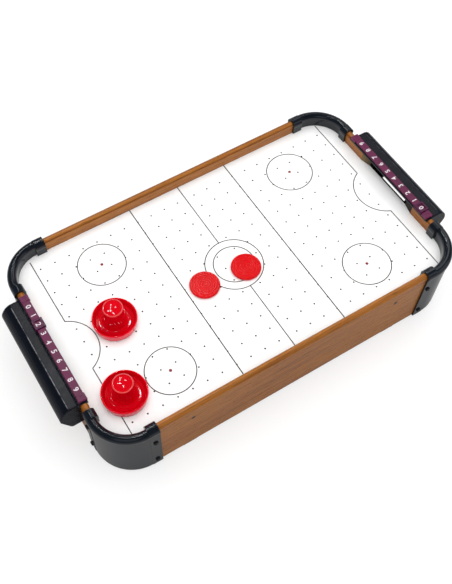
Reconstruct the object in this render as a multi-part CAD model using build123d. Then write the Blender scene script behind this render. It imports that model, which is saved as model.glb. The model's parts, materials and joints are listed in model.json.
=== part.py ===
from build123d import *
import math
import os

# Tabletop air hockey table, millimetres.
# Origin: floor, under the middle of the frame. +X is the long direction, towards the right-hand
# goal, +Y is towards the rear long rail, +Z is up.
# Throughout, `end` is -1 (left) or +1 (right) along X, `side` is -1 (front) or +1 (rear) along Y.
os.makedirs("parts", exist_ok=True)

END_NAMES = {-1: "left", 1: "right"}
SIDE_NAMES = {-1: "front", 1: "rear"}
CORNERS = [(end, side) for end in (-1, 1) for side in (-1, 1)]

# ---- frame --------------------------------------------------------------------------------------
FOOT_H = 3.0                  # rubber pads under the long rails
RAIL_T = 9.0                  # board thickness of the four rails
RAIL_TOP = 96.0               # crest of the rounded rail top
FIELD_Z = 79.0                # playing surface
BOARD_T = 3.0                 # perforated board
BOARD_Z0 = FIELD_Z - BOARD_T
HALF_L = 243.0                # inner face of the end rails
HALF_W = 141.0                # inner face of the long rails
CREST_R = RAIL_T / 2
CREST_Z = RAIL_TOP - CREST_R  # axis of the rounded rail top
RAIL_OUT_X, RAIL_OUT_Y = HALF_L + RAIL_T, HALF_W + RAIL_T
RAIL_MID_X, RAIL_MID_Y = HALF_L + CREST_R, HALF_W + CREST_R

# ---- corner caps; the bends are equally far inside the end rails and the long rails --------------
ARC_X, ARC_Y = 203.0, 101.0   # centre of each corner bend
CAP_R_MID = 46.2              # middle of the corner bead, a little outside the middle of the rails
CAP_R_OUT = 50.8              # outer surface of the corner skirt
CAP_WALL = 2.0
TUBE_R = 6.0                  # rounded top bead of a corner
SLEEVE, SLEEVE_END = 13.2, 11.4  # length of the sleeve over a long rail and over an end rail
SLEEVE_R = 7.8                # rounded top of the sleeve
SLEEVE_SHIFT = 0.1            # sleeve axis outside the middle of the rail
FLANGE_T = 2.3                # sleeve plate on the outer rail face
RAIL_END_X, RAIL_END_Y = ARC_X - 1.6, ARC_Y - 1.6

# ---- goal mouths and boxes ----------------------------------------------------------------------
MOUTH_IN, MOUTH_OUT = 53.0, 38.0  # half widths of the mouth at the field and where it runs straight
MOUTH_RUN = 3.4               # depth of the slanted part of the mouth
SILL_Z = 69.5                 # floor of the mouth cut in the end rail
GOAL_Y = {-1: 1.5, 1: -1.5}   # each goal is 1.5 mm off the middle, the same way seen from its end
GOAL_HALF = 80.5              # half length of a goal box
GOAL_DEPTH = 279.0            # outermost wall of a goal box
GOAL_WALL = 2.0
GOAL_X0 = RAIL_OUT_X + 0.02   # back plate, just clear of the rail
GOAL_X1 = GOAL_X0 + GOAL_WALL

# ---- screws and their holes ---------------------------------------------------------------------
SHANK_R = 1.5
PILOT = 1.53                  # radius of a hole the thread bites in
CLEAR = 1.65                  # radius of a hole the shank passes through
CORNER_SCREW_Z = (13.5, 65.5)
FLANGE_MID_X, FLANGE_MID_Y = ARC_X - SLEEVE / 2, ARC_Y - SLEEVE / 2
RAIL_SCREW_X, RAIL_SCREW_Z = 145.5, 72.5
GOAL_SCREWS = [(side * 63.0, z) for side in (-1, 1) for z in (58.0, 88.0)]  # y from goal middle, z


# ---- shape helpers ------------------------------------------------------------------------------
def box(x0, x1, y0, y1, z0, z1):
    middle = Pos((x0 + x1) / 2, (y0 + y1) / 2, (z0 + z1) / 2)
    return middle * Box(abs(x1 - x0), abs(y1 - y0), abs(z1 - z0))


def cyl(x, y, z0, z1, radius):
    return Pos(x, y, (z0 + z1) / 2) * Cylinder(radius, abs(z1 - z0))


def cyl_x(x0, x1, y, z, radius):
    return Pos((x0 + x1) / 2, y, z) * Rot(0, 90, 0) * Cylinder(radius, abs(x1 - x0))


def cyl_y(x, y0, y1, z, radius):
    return Pos(x, (y0 + y1) / 2, z) * Rot(90, 0, 0) * Cylinder(radius, abs(y1 - y0))


def polygon(points):
    return make_face(Polyline(*points, close=True))


def prism_yz(points, x0, x1):
    """Closed outline of (y, z) points, extruded along X."""
    return extrude(polygon([(x0, y, z) for y, z in points]), amount=x1 - x0, dir=(1, 0, 0))


def prism_xz(points, y0, y1):
    return extrude(polygon([(x, y0, z) for x, z in points]), amount=y1 - y0, dir=(0, 1, 0))


def prism_xy(points, z0, z1):
    return extrude(polygon([(x, y, z0) for x, y in points]), amount=z1 - z0, dir=(0, 0, 1))


def turned(points, x, y, z):
    """Revolves an outline of (radius, height) points about the vertical line through (x, y)."""
    return Pos(x, y, z) * revolve(polygon([(r, 0, h) for r, h in points]), Axis.Z, 360)


def rounded_plate(half_x, half_y, radius, z0, z1):
    sketch = Plane.XY.offset(z0) * RectangleRounded(2 * half_x, 2 * half_y, radius)
    return extrude(sketch, amount=z1 - z0, dir=(0, 0, 1))


def drill(shape, spots, z0, z1, radius):
    """Vertical holes at the (x, y) spots."""
    for x, y in spots:
        shape -= cyl(x, y, z0, z1, radius)
    return shape


def facing_x(x, y, z, end):
    """Place whose local +Z points along X, towards `end`."""
    return Pos(x, y, z) * Rot(0, 90 * end, 0)


def facing_y(x, y, z, side):
    """Place whose local +Z points along Y, towards `side`."""
    return Pos(x, y, z) * Rot(-90 * side, 0, 0)


def facing_down(x, y, z):
    return Pos(x, y, z) * Rot(180, 0, 0)


def try_fillet(shape, edges, radius):
    """Rounds edges, with a smaller radius if the full one does not fit."""
    for size in (radius, radius * 0.6, radius * 0.3):
        # guards against radii the kernel cannot build; with none possible the edges stay sharp
        try:
            out = fillet(edges, size)
            if out.is_valid and len(out.solids()) == 1:
                return out
        except Exception:
            pass
    return shape


def solids_of(shape):
    if isinstance(shape, (list, tuple, ShapeList)):
        return [solid for item in shape for solid in solids_of(item)]
    return list(shape.solids())


def save(name, shape):
    found = solids_of(shape)
    whole = found[0] if len(found) == 1 else Compound(children=found)
    whole.label = name
    export_step(whole, os.path.join("parts", name + ".step"))


# ---- fasteners ----------------------------------------------------------------------------------
def pan_screw(head_r, head_h, length):
    """Pan head screw along +Z: the head sits above z = 0, with a cross recess."""
    head = Pos(0, 0, head_h / 2) * Cylinder(head_r, head_h)
    head = try_fillet(head, head.edges().group_by(Axis.Z)[-1], head_h * 0.55)
    shank = Pos(0, 0, -length / 2) * Cylinder(SHANK_R, length)
    tip = Pos(0, 0, -length - 0.6) * Cone(0.5, SHANK_R, 1.2)
    screw = head + shank + tip
    for angle in (0, 90):
        screw -= Pos(0, 0, head_h) * Rot(0, 0, angle) * Box(head_r * 1.15, 0.9, 1.8)
    return screw


def flush_screw(head_r=3.0, head_h=1.8, length=17.0):
    """Countersunk screw along +Z: the head top is at z = 0."""
    head = Pos(0, 0, -head_h / 2) * Cone(SHANK_R, head_r, head_h)
    shank_len = length - head_h
    screw = head + Pos(0, 0, -head_h - shank_len / 2) * Cylinder(SHANK_R, shank_len)
    for angle in (0, 90):
        screw -= Rot(0, 0, angle) * Box(head_r * 1.1, 0.8, 1.8)
    return screw


def corner_screws():
    screw = pan_screw(head_r=3.1, head_h=2.1, length=9.0)
    out = []
    for end, side in CORNERS:
        for z in CORNER_SCREW_Z:
            y_out, x_out = side * (RAIL_OUT_Y + FLANGE_T), end * (RAIL_OUT_X + FLANGE_T)
            out.append(facing_y(end * FLANGE_MID_X, y_out, z, side) * screw)
            out.append(facing_x(x_out, side * FLANGE_MID_Y, z, end) * screw)
    return out


def rail_screw_place(end, side):
    return facing_y(end * RAIL_SCREW_X, side * RAIL_OUT_Y, RAIL_SCREW_Z, side)


def rail_screws():
    screw = flush_screw()
    return [rail_screw_place(end, side) * screw for end, side in CORNERS]


def goal_screws():
    screw = pan_screw(head_r=2.9, head_h=1.8, length=8.4)
    return [facing_x(end * GOAL_X1, GOAL_Y[end] + y, z, end) * screw
            for end in (-1, 1) for y, z in GOAL_SCREWS]


# ---- rails --------------------------------------------------------------------------------------
SCREW_DEPTH = 8.0             # corner screw holes, from the outer face


def side_rail(side):
    rail = box(-RAIL_END_X, RAIL_END_X, side * HALF_W, side * RAIL_OUT_Y, FOOT_H, CREST_Z)
    rail += cyl_x(-RAIL_END_X, RAIL_END_X, side * RAIL_MID_Y, CREST_Z, CREST_R)
    hole_y = side * (RAIL_OUT_Y - SCREW_DEPTH), side * (RAIL_OUT_Y + 1)
    for end in (-1, 1):
        for z in CORNER_SCREW_Z:
            rail -= cyl_y(end * FLANGE_MID_X, *hole_y, z, PILOT)
        bore = Pos(0, 0, -5) * Cylinder(PILOT, 12)
        countersink = Pos(0, 0, -0.88) * Cone(1.54, 3.04, 1.84)
        rail -= rail_screw_place(end, side) * (bore + countersink)
    return rail


def end_rail(end):
    rail = box(end * HALF_L, end * RAIL_OUT_X, -RAIL_END_Y, RAIL_END_Y, FOOT_H, CREST_Z)
    rail += cyl_y(end * RAIL_MID_X, -RAIL_END_Y, RAIL_END_Y, CREST_Z, CREST_R)
    goal_y = GOAL_Y[end]
    over = 0.5                # the cutters stand out of both rail faces
    x_in, x_out = end * (HALF_L - over), end * (RAIL_OUT_X + over)
    x_mid = end * (HALF_L + MOUTH_RUN)
    wide = MOUTH_IN + over * (MOUTH_IN - MOUTH_OUT) / MOUTH_RUN
    y0, y1 = goal_y - MOUTH_OUT, goal_y + MOUTH_OUT
    mouth = [
        (x_in, goal_y - wide), (x_mid, y0), (x_out, y0),
        (x_out, y1), (x_mid, y1), (x_in, goal_y + wide),
    ]
    rail -= prism_xy(mouth, BOARD_Z0, RAIL_TOP + 5)
    rail -= box(x_in, x_out, y0, y1, SILL_Z, RAIL_TOP + 5)
    hole_end = end * (RAIL_OUT_X + 1)
    for side in (-1, 1):
        for z in CORNER_SCREW_Z:
            hole_start = end * (RAIL_OUT_X - SCREW_DEPTH)
            rail -= cyl_x(hole_start, hole_end, side * FLANGE_MID_Y, z, PILOT)
    for y, z in GOAL_SCREWS:
        rail -= cyl_x(end * (HALF_L + 1.0), hole_end, goal_y + y, z, PILOT)
    return rail


# ---- corner caps --------------------------------------------------------------------------------
def corner_bend():
    """Quarter turn about the bend's centre: a hollow bead on an outer skirt and an inner wall."""
    z_mid = RAIL_TOP + 1.4 - TUBE_R
    in_r0 = CAP_R_MID - TUBE_R
    in_r1 = in_r0 + CAP_WALL
    out_r0 = CAP_R_OUT - CAP_WALL

    def turn_band(r0, r1, z0):
        face = polygon([(r0, 0, z0), (r1, 0, z0), (r1, 0, z_mid), (r0, 0, z_mid)])
        return revolve(face, Axis.Z, 90)

    def turn_disc(radius):
        plane = Plane((CAP_R_MID, 0, z_mid), x_dir=(1, 0, 0), z_dir=(0, -1, 0))
        return revolve(plane * Circle(radius), Axis.Z, 90)

    bend = turn_disc(TUBE_R) + turn_band(out_r0, CAP_R_OUT, FOOT_H)
    bend += turn_band(in_r0, in_r1, FIELD_Z)
    bend -= turn_disc(TUBE_R - CAP_WALL)
    bend -= turn_band(in_r1, out_r0, FOOT_H - 1)
    return Pos(ARC_X, ARC_Y, 0) * bend


def corner_sleeve(length):
    """Sleeve along X over the rear rail, at its +X end."""
    x0, x1 = ARC_X - length, ARC_X + 0.2
    y_axis = RAIL_MID_Y + SLEEVE_SHIFT
    y_out = RAIL_OUT_Y + FLANGE_T
    blank = cyl_x(x0, x1, y_axis, CREST_Z, SLEEVE_R)
    blank += box(x0, x1, RAIL_OUT_Y - 3, y_out, FOOT_H, CREST_Z)
    blank += box(x0, x1, y_axis - SLEEVE_R + 0.35, HALF_W + 3, FIELD_Z, CREST_Z)
    hollow = box(x0 - 1, RAIL_END_X, HALF_W, RAIL_OUT_Y, 0, CREST_Z)
    hollow += cyl_x(x0 - 1, RAIL_END_X, RAIL_MID_Y, CREST_Z, CREST_R)
    end_edges = [e for e in blank.edges()
                 if abs(e.center().X - x0) < 0.01 and e.center().Z > CREST_Z + 0.5]
    sleeve = try_fillet(blank, end_edges, 0.9) - hollow
    for z in CORNER_SCREW_Z:
        sleeve -= cyl_y(FLANGE_MID_X, RAIL_OUT_Y - 0.5, y_out + 1, z, CLEAR)
    return sleeve


def corner_cap():
    """The corner at +X, +Y."""
    # the sleeve over the end rail is mirrored about the corner's diagonal
    diagonal = Plane((ARC_X, ARC_Y, 0), x_dir=(0, 0, 1), z_dir=(1, -1, 0))
    return corner_bend() + corner_sleeve(SLEEVE) + mirror(corner_sleeve(SLEEVE_END), diagonal)


def place_corner(cap, end, side):
    if end < 0:
        cap = mirror(cap, Plane.YZ)
    if side < 0:
        cap = mirror(cap, Plane.XZ)
    return cap


# ---- goal box, score strip and marker -----------------------------------------------------------
LIP_X, LIP_Z = 241.9, 93.4     # inner face and lower edge of the lip that hooks over the rail
BRIDGE_HALF = 81.3             # half length of the bridge under the strip
BRIDGE_TOP = 96.8
SPINE_X0, SPINE_X1 = 245.2, 250.2  # raised spine on the bridge
STRIP_HALF = 79.8
STRIP_X0, STRIP_X1 = 242.2, 252.2
STRIP_Z0, STRIP_Z1 = 98.1, 99.7
TAB_START, TAB_TOP = 71.0, 100.4   # thicker tabs at both ends of the strip
MARK_HALF = 7.2
MARK_X0, MARK_X1 = 240.2, 253.9
MARK_Z0, MARK_Z1 = 97.0, 101.4
MARK_GAP = 0.15                # play of the marker around the strip and the spine
MARK_AT = {-1: 35.0, 1: -63.0}  # rest position of each marker, from its strip's middle

# (x, z) outlines of the box and of its hollow
GOAL_OUTER = [
    (GOAL_X0, 50.0), (267.0, 50.0), (269.6, 53.2), (GOAL_DEPTH, 74.0), (GOAL_DEPTH, 79.0),
    (277.9, 83.4), (275.6, 87.6), (272.6, 91.2), (269.4, 93.8), (265.5, 95.2), (GOAL_X0, 95.2),
]
GOAL_INNER = [
    (GOAL_X1, 52.0), (266.0, 52.0), (267.8, 54.2), (277.0, 74.6), (277.0, 78.7),
    (276.0, 82.6), (273.9, 86.5), (271.1, 89.8), (268.2, 92.1), (265.0, 93.2), (GOAL_X1, 93.2),
]


def goal_shell():
    shell = prism_xz(GOAL_OUTER, -GOAL_HALF, GOAL_HALF)
    long_edges = [e for e in shell.edges() if abs(e.center().Y) < 1 and e.center().X > 266]
    shell = try_fillet(shell, long_edges, 1.2)
    rim = [e for e in shell.edges()
           if abs(abs(e.center().Y) - GOAL_HALF) < 0.05 and e.center().X > GOAL_X0 + 1]
    shell = try_fillet(shell, rim, 0.8)
    shell -= prism_xz(GOAL_INNER, -GOAL_HALF + GOAL_WALL, GOAL_HALF - GOAL_WALL)
    # mouth window in the back plate, with a sill reaching into the rail's mouth
    sill_top, sill_half = 70.8, MOUTH_OUT - 0.4
    shell -= box(GOAL_X0 - 1, GOAL_X1 + 0.5, -MOUTH_OUT, MOUTH_OUT, sill_top, 93.2)
    shell += box(248.4, GOAL_X0 + 0.5, -sill_half, sill_half, SILL_Z + 0.1, sill_top)
    # puck return slot in the floor, with a finger notch rising into the outer wall
    slot = box(GOAL_X1 + 0.4, 268.6, -20.0, 28.0, 49.0, 53.0)
    slot += box(264.0, 274.0, -20.0, 28.0, 49.0, 54.2)
    shell -= slot
    shell -= box(260.0, 276.0, -19.0, -6.0, 49.0, 62.0)
    return shell


def goal_bridge():
    """Bridge over the rail top, with the spine and a lip hanging down on the field side."""
    riser_half, spine_half = BRIDGE_HALF - 0.8, STRIP_HALF - 1.0
    bridge = box(243.1, GOAL_X1, -BRIDGE_HALF, BRIDGE_HALF, RAIL_TOP, BRIDGE_TOP)
    riser = box(GOAL_X0, GOAL_X1, -riser_half, riser_half, 93.0, BRIDGE_TOP)
    spine = box(SPINE_X0, SPINE_X1, -spine_half, spine_half, BRIDGE_TOP, STRIP_Z0)
    bridge = bridge + riser + spine
    half = BRIDGE_HALF + 0.5
    cut = half + 1
    saddle = box(LIP_X, GOAL_X1, -half, half, LIP_Z, BRIDGE_TOP)
    saddle -= box(HALF_L, RAIL_OUT_X, -cut, cut, 80.0, CREST_Z)
    saddle -= cyl_y(RAIL_MID_X, -cut, cut, CREST_Z, CREST_R)
    saddle -= box(RAIL_OUT_X, GOAL_X0, -cut, cut, 80.0, 95.9)
    return bridge + saddle


def goal_box():
    """The box at +X with its middle at y = 0."""
    goal = goal_shell() + goal_bridge()
    for y, z in GOAL_SCREWS:
        goal -= cyl_x(GOAL_X0 - 1, GOAL_X1 + 1, y, z, CLEAR)
    # triangular ribs between the back plate and the floor
    rib_x = GOAL_X1 - 0.3
    for y in (-52.0, 52.0):
        goal += prism_xz([(rib_x, 51.5), (262.0, 51.5), (rib_x, 75.0)], y - 0.8, y + 0.8)
    return goal


def score_strip():
    """The strip at +X with its middle at y = 0."""
    bar_half = TAB_START + 1
    bar = box(STRIP_X0, STRIP_X1, -bar_half, bar_half, STRIP_Z0, STRIP_Z1)
    top = [e for e in bar.edges() if e.center().Z > STRIP_Z1 - 0.1 and abs(e.center().Y) < 1]
    strip = try_fillet(bar, top, 0.7)
    tab_mid = (TAB_START + STRIP_HALF) / 2
    for side in (-1, 1):
        y0, y1 = sorted((side * TAB_START, side * STRIP_HALF))
        tab = box(STRIP_X0 - 1.0, STRIP_X1, y0, y1, 96.9, TAB_TOP)
        tab -= box(SPINE_X0 - 0.1, SPINE_X1 + 0.1, y0 - 1, y1 + 1, 96.0, STRIP_Z0)
        top = [e for e in tab.edges() if e.center().Z > TAB_TOP - 0.1]
        tab = try_fillet(tab, top, 0.7)
        # shallow square recess in the top of the tab
        mid = side * tab_mid
        tab -= box(244.7, 248.9, mid - 2.1, mid + 2.1, TAB_TOP - 0.4, 102)
        strip += tab
    return strip


def score_marker():
    """A window frame around the strip, centred on y = 0."""
    marker = box(MARK_X0, MARK_X1, -MARK_HALF, MARK_HALF, MARK_Z0, MARK_Z1)
    top = [e for e in marker.edges() if e.center().Z > MARK_Z1 - 0.1]
    marker = try_fillet(marker, top, 0.8)

    def is_upright(edge):
        at = edge.center()
        at_x_face = abs(at.X - MARK_X0) < 0.01 or abs(at.X - MARK_X1) < 0.01
        return abs(at.Z - 98.8) < 0.6 and abs(abs(at.Y) - MARK_HALF) < 0.01 and at_x_face

    marker = try_fillet(marker, [e for e in marker.edges() if is_upright(e)], 0.5)
    marker -= box(STRIP_X0 - MARK_GAP, STRIP_X1 + MARK_GAP, -20, 20,
                  STRIP_Z0 - MARK_GAP, STRIP_Z1 + MARK_GAP)
    marker -= box(SPINE_X0 - MARK_GAP, SPINE_X1 + MARK_GAP, -20, 20, 96.0, STRIP_Z0)
    marker -= box(243.0, 251.4, -4.6, 4.6, 99.0, 102.0)
    return marker


def at_end(shape, end, y):
    """Places a +X end piece; the left-hand one is turned half a turn about the vertical."""
    return Pos(0, y, 0) * (shape if end > 0 else Rot(0, 0, 180) * shape)


# ---- mallets and pucks --------------------------------------------------------------------------
PUCK_R, PUCK_H = 19.3, 4.6
PUCKS = {"puck_1": (-45.0, -9.8), "puck_2": (13.2, -14.0)}
MALLETS = {"mallet_1": (-164.5, 2.3), "mallet_2": (-200.6, -88.9)}
MALLET_R, MALLET_RIM, MALLET_H = 27.8, 13.2, 36.0


def mallet(x, y):
    outer, rim, top = MALLET_R, MALLET_RIM, MALLET_H
    # (radius, height): underside and rim, then the dish, the knob and its hollow underside
    points = [
        (10.9, 1.0), (outer - 1.6, 1.0), (outer - 1.0, 1.6), (outer - 0.35, rim - 2.2),
        (outer, rim - 1.6), (outer, rim - 0.7), (outer - 0.5, rim - 0.1), (outer - 1.1, rim),
        (outer - 1.9, rim - 0.3), (outer - 2.5, rim - 1.4), (outer - 3.1, 7.6),
        (outer - 4.3, 5.3), (outer - 6.4, 3.9), (outer - 9.0, 3.3), (15.2, 3.1), (13.8, 3.6),
        (13.1, 4.8), (12.85, 7.0), (12.4, top - 2.2), (12.2, top - 1.0), (11.6, top - 0.3),
        (10.9, top), (10.3, top - 0.35), (9.4, top - 0.45), (5.0, top - 0.2), (0, top - 0.1),
        (0, top - 2.2), (9.6, top - 2.4), (10.7, top - 3.6),
    ]
    return turned(points, x, y, FIELD_Z)


def mallet_felt(x, y):
    felt = cyl(x, y, FIELD_Z, FIELD_Z + 1.0, MALLET_R - 2.0)
    return felt - cyl(x, y, FIELD_Z - 1, FIELD_Z + 2, 11.5)


def puck(x, y):
    top = PUCK_H
    low = top - 0.25          # shallow rings between the raised ones
    # (radius, height), from the middle of the top outwards and down
    points = [
        (0, low), (2.2, low), (2.6, top), (3.4, top), (3.8, low),
        (7.0, low), (7.4, top), (8.2, top), (8.6, low),
        (11.8, low), (12.2, top), (13.0, top), (13.4, low), (16.2, low), (16.7, top),
        (PUCK_R - 0.9, top), (PUCK_R - 0.2, top - 0.5), (PUCK_R, top - 1.2),
        (PUCK_R, 1.2), (PUCK_R - 0.2, 0.5), (PUCK_R - 0.9, 0), (0, 0),
    ]
    return turned(points, x, y, FIELD_Z)


# ---- playing board ------------------------------------------------------------------------------
BOARD_R = 42.0                # the board's corner reaches under the inner corner wall
BOARD_GAP = 0.2               # to the rails
TONGUE_X = 246.6              # the board reaches this far into the mouth
HOLE_D = 1.6                  # air hole
HOLE_PITCH = 20.0
HOLE_GAP = 25.54              # distance between the two middle columns
HOLE_DX, HOLE_DY = 3.8, -1.4  # the drilled pattern sits slightly off the frame centre


def board():
    half_x, half_y = HALF_L - BOARD_GAP, HALF_W - BOARD_GAP
    plate = rounded_plate(half_x, half_y, half_x - ARC_X, BOARD_Z0, FIELD_Z)
    wide, narrow = MOUTH_IN - 1.0, MOUTH_OUT - 0.4
    # one half of a tongue: (distance from the table's middle, half width)
    tongue = [(HALF_L - 2, wide), (HALF_L, wide), (HALF_L + MOUTH_RUN, narrow), (TONGUE_X, narrow)]
    for end in (-1, 1):
        goal_y = GOAL_Y[end]
        points = [(end * x, goal_y - half) for x, half in tongue]
        points += [(end * x, goal_y + half) for x, half in reversed(tongue)]
        plate += prism_xy(points, BOARD_Z0, FIELD_Z)
    for end, side in CORNERS:
        disc = cyl(end * ARC_X, side * ARC_Y, BOARD_Z0, FIELD_Z, BOARD_R)
        plate += disc & box(end * ARC_X, end * (ARC_X + 60), side * ARC_Y, side * (ARC_Y + 60),
                            BOARD_Z0 - 1, FIELD_Z + 1)
    spots = [
        (end * (HOLE_GAP / 2 + column * HOLE_PITCH) + HOLE_DX, row * HOLE_PITCH + HOLE_DY)
        for end in (-1, 1) for column in range(11) for row in range(-6, 7)
    ]
    with BuildPart() as pins:
        with BuildSketch(Plane.XY.offset(BOARD_Z0 - 1)):
            with Locations(*spots):
                Circle(HOLE_D / 2)
        extrude(amount=BOARD_T + 2)
    return plate - pins.part


# ---- base: battens and panel --------------------------------------------------------------------
BATTEN_Z0 = 46.0              # underside of the battens, top of the base panel
BATTEN_W = 10.0
PANEL_T = 3.0
PANEL_Z0 = BATTEN_Z0 - PANEL_T
PANEL_GAP = 0.3               # to the rails
FAN_X, FAN_Y = 0.0, 0.0
BAT_X, BAT_Y = -115.0, 0.0    # battery box
SW_X, SW_Y = -60.0, -72.0     # switch

# name: x0, x1, y0, y1, side of the long rail it is screwed to (0 for none)
BATTENS = {
    "batten_front": (-188.0, 188.0, -HALF_W, -HALF_W + BATTEN_W, -1),
    "batten_rear": (-188.0, 188.0, HALF_W - BATTEN_W, HALF_W, 1),
    "batten_left": (-HALF_L, -HALF_L + BATTEN_W, -96.0, 96.0, 0),
    "batten_right": (HALF_L - BATTEN_W, HALF_L, -96.0, 96.0, 0),
}


def around_fan(radius, angles):
    """(x, y) spots on a circle about the fan's axis."""
    return [(FAN_X + radius * math.cos(math.radians(angle)),
             FAN_Y + radius * math.sin(math.radians(angle))) for angle in angles]


PANEL_SCREWS = [(x, y) for y in (-136.0, 136.0) for x in (-150.0, 0.0, 150.0)]
PANEL_SCREWS += [(x, y) for x in (-238.0, 238.0) for y in (-60.0, 60.0)]
BRACKET_ANGLES = (0, 120, 240)
FAN_SCREWS = around_fan(56, (45, 135, 225, 315))
BRACKET_SCREWS = around_fan(52, BRACKET_ANGLES)
BATTERY_SCREWS = [(BAT_X + dx, BAT_Y + dy) for dx in (-24.0, 24.0) for dy in (-36.5, 36.5)]
# where the two battery leads come up through the base panel
LEAD_HOLES = [(BAT_X + 27.9, BAT_Y + dy) for dy in (-22.5, 22.5)]
LEAD_HOLE_R = 1.8


def batten(x0, x1, y0, y1, side):
    bar = box(x0, x1, y0, y1, BATTEN_Z0, BOARD_Z0)
    spots = [(x, y) for x, y in PANEL_SCREWS if x0 < x < x1 and y0 < y < y1]
    bar = drill(bar, spots, BATTEN_Z0 - 1, BATTEN_Z0 + 9, PILOT)
    if side:
        for end in (-1, 1):
            bar -= cyl_y(end * RAIL_SCREW_X, side * (HALF_W + 1), side * (HALF_W - 9.2),
                         RAIL_SCREW_Z, PILOT)
    return bar


def base_panel():
    half_x, half_y = HALF_L - PANEL_GAP, HALF_W - PANEL_GAP
    panel = rounded_plate(half_x, half_y, half_x - ARC_X, PANEL_Z0, BATTEN_Z0)
    through = PANEL_Z0 - 1, BATTEN_Z0 + 1
    panel = drill(panel, [(FAN_X, FAN_Y)], *through, 46.0)
    panel = drill(panel, PANEL_SCREWS, *through, CLEAR)
    panel = drill(panel, FAN_SCREWS + BRACKET_SCREWS, *through, PILOT)
    panel -= box(SW_X - 9.7, SW_X + 9.7, SW_Y - 8.7, SW_Y + 8.7, *through)
    panel = drill(panel, LEAD_HOLES, *through, LEAD_HOLE_R)
    return drill(panel, BATTERY_SCREWS, *through, PILOT)


def base_panel_screws():
    screw = pan_screw(head_r=3.1, head_h=2.0, length=9.0)
    return [facing_down(x, y, PANEL_Z0) * screw for x, y in PANEL_SCREWS]


# ---- fan ----------------------------------------------------------------------------------------
HOUSING_Z0 = 14.0
HOUSING_R = 50.0              # inside
FLANGE_H = 2.0                # housing flange under the panel, bracket arms on top of it
SHAFT_R = 1.0
MOTOR_R, MOTOR_TOP = 12.0, 56.0
MOTOR_TAG_DX, MOTOR_TAG_TOP = 7.5, 60.0  # the motor's two terminals
WHEEL_R = 40.0
WHEEL_TOP = 29.6
BLADE = [(13.0, -0.7), (26.0, -3.4), (39.0, -9.4), (39.3, -7.8), (26.0, -1.8), (13.0, 0.7)]  # x, y


def fan_cyl(z0, z1, radius):
    return cyl(FAN_X, FAN_Y, z0, z1, radius)


def turned_copies(shape, angles):
    return [Pos(FAN_X, FAN_Y, 0) * Rot(0, 0, angle) * shape for angle in angles]


def fan_housing():
    flange_z0 = PANEL_Z0 - FLANGE_H
    housing = fan_cyl(HOUSING_Z0, PANEL_Z0, HOUSING_R + 2)
    housing -= fan_cyl(HOUSING_Z0 + 2, PANEL_Z0 + 1, HOUSING_R)
    housing += fan_cyl(flange_z0, PANEL_Z0, 60.0) - fan_cyl(flange_z0 - 1, PANEL_Z0 + 1, HOUSING_R)
    bottom = [e for e in housing.edges() if abs(e.center().Z - HOUSING_Z0) < 0.05]
    housing = try_fillet(housing, bottom, 1.6)
    slot = Pos(30.0, 0, 15.0) * Box(26.0, 2.6, 4.0)
    housing = housing - turned_copies(slot, range(0, 360, 12))
    return drill(housing, FAN_SCREWS, flange_z0 - 1, PANEL_Z0 + 1, CLEAR)


def motor_bracket():
    bracket = fan_cyl(BATTEN_Z0, 54.0, 14.6)
    arm = box(10.0, 57.0, -4.0, 4.0, BATTEN_Z0, BATTEN_Z0 + FLANGE_H)
    for placed in turned_copies(arm, BRACKET_ANGLES):
        bracket += placed
    bracket -= fan_cyl(BATTEN_Z0 - 1, 55.0, MOTOR_R + 0.04)
    return drill(bracket, BRACKET_SCREWS, BATTEN_Z0 - 1, BATTEN_Z0 + FLANGE_H + 1, CLEAR)


def fan_screws():
    lower = pan_screw(head_r=2.8, head_h=1.8, length=4.9)
    upper = pan_screw(head_r=2.8, head_h=1.8, length=3.6)
    out = [facing_down(x, y, PANEL_Z0 - FLANGE_H) * lower for x, y in FAN_SCREWS]
    return out + [Pos(x, y, BATTEN_Z0 + FLANGE_H) * upper for x, y in BRACKET_SCREWS]


def fan_motor():
    motor = fan_cyl(31.0, MOTOR_TOP, MOTOR_R)
    motor = try_fillet(motor, motor.edges(), 0.8)
    motor += fan_cyl(MOTOR_TOP - 0.2, 57.5, 4.5)
    motor -= fan_cyl(30.0, 54.0, SHAFT_R + 0.06)
    for x in (FAN_X - MOTOR_TAG_DX, FAN_X + MOTOR_TAG_DX):
        motor += box(x - 1.5, x + 1.5, FAN_Y - 0.25, FAN_Y + 0.25,
                     MOTOR_TOP - 0.2, MOTOR_TAG_TOP)
    return motor


def impeller():
    wheel = fan_cyl(18.5, WHEEL_TOP, 5.0) + fan_cyl(28.2, WHEEL_TOP, WHEEL_R)
    wheel = wheel + turned_copies(prism_xy(BLADE, 19.0, 28.4), range(0, 360, 30))
    wheel = wheel + (fan_cyl(18.6, 20.0, WHEEL_R) - fan_cyl(18.0, 21.0, 35.5))
    return wheel - fan_cyl(18.0, 30.0, SHAFT_R + 0.02)


# ---- battery box --------------------------------------------------------------------------------
BX0, BX1 = BAT_X - 31.0, BAT_X + 31.0
BY0, BY1 = BAT_Y - 33.0, BAT_Y + 33.0
LUG_T, LUG_R = 2.5, 4.2
CELL_Z = 32.6
# (y, end the cell's positive pole points to)
CELLS = [(BAT_Y + 15.2 * (i - 1.5), 1 if i % 2 == 0 else -1) for i in range(4)]


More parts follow.
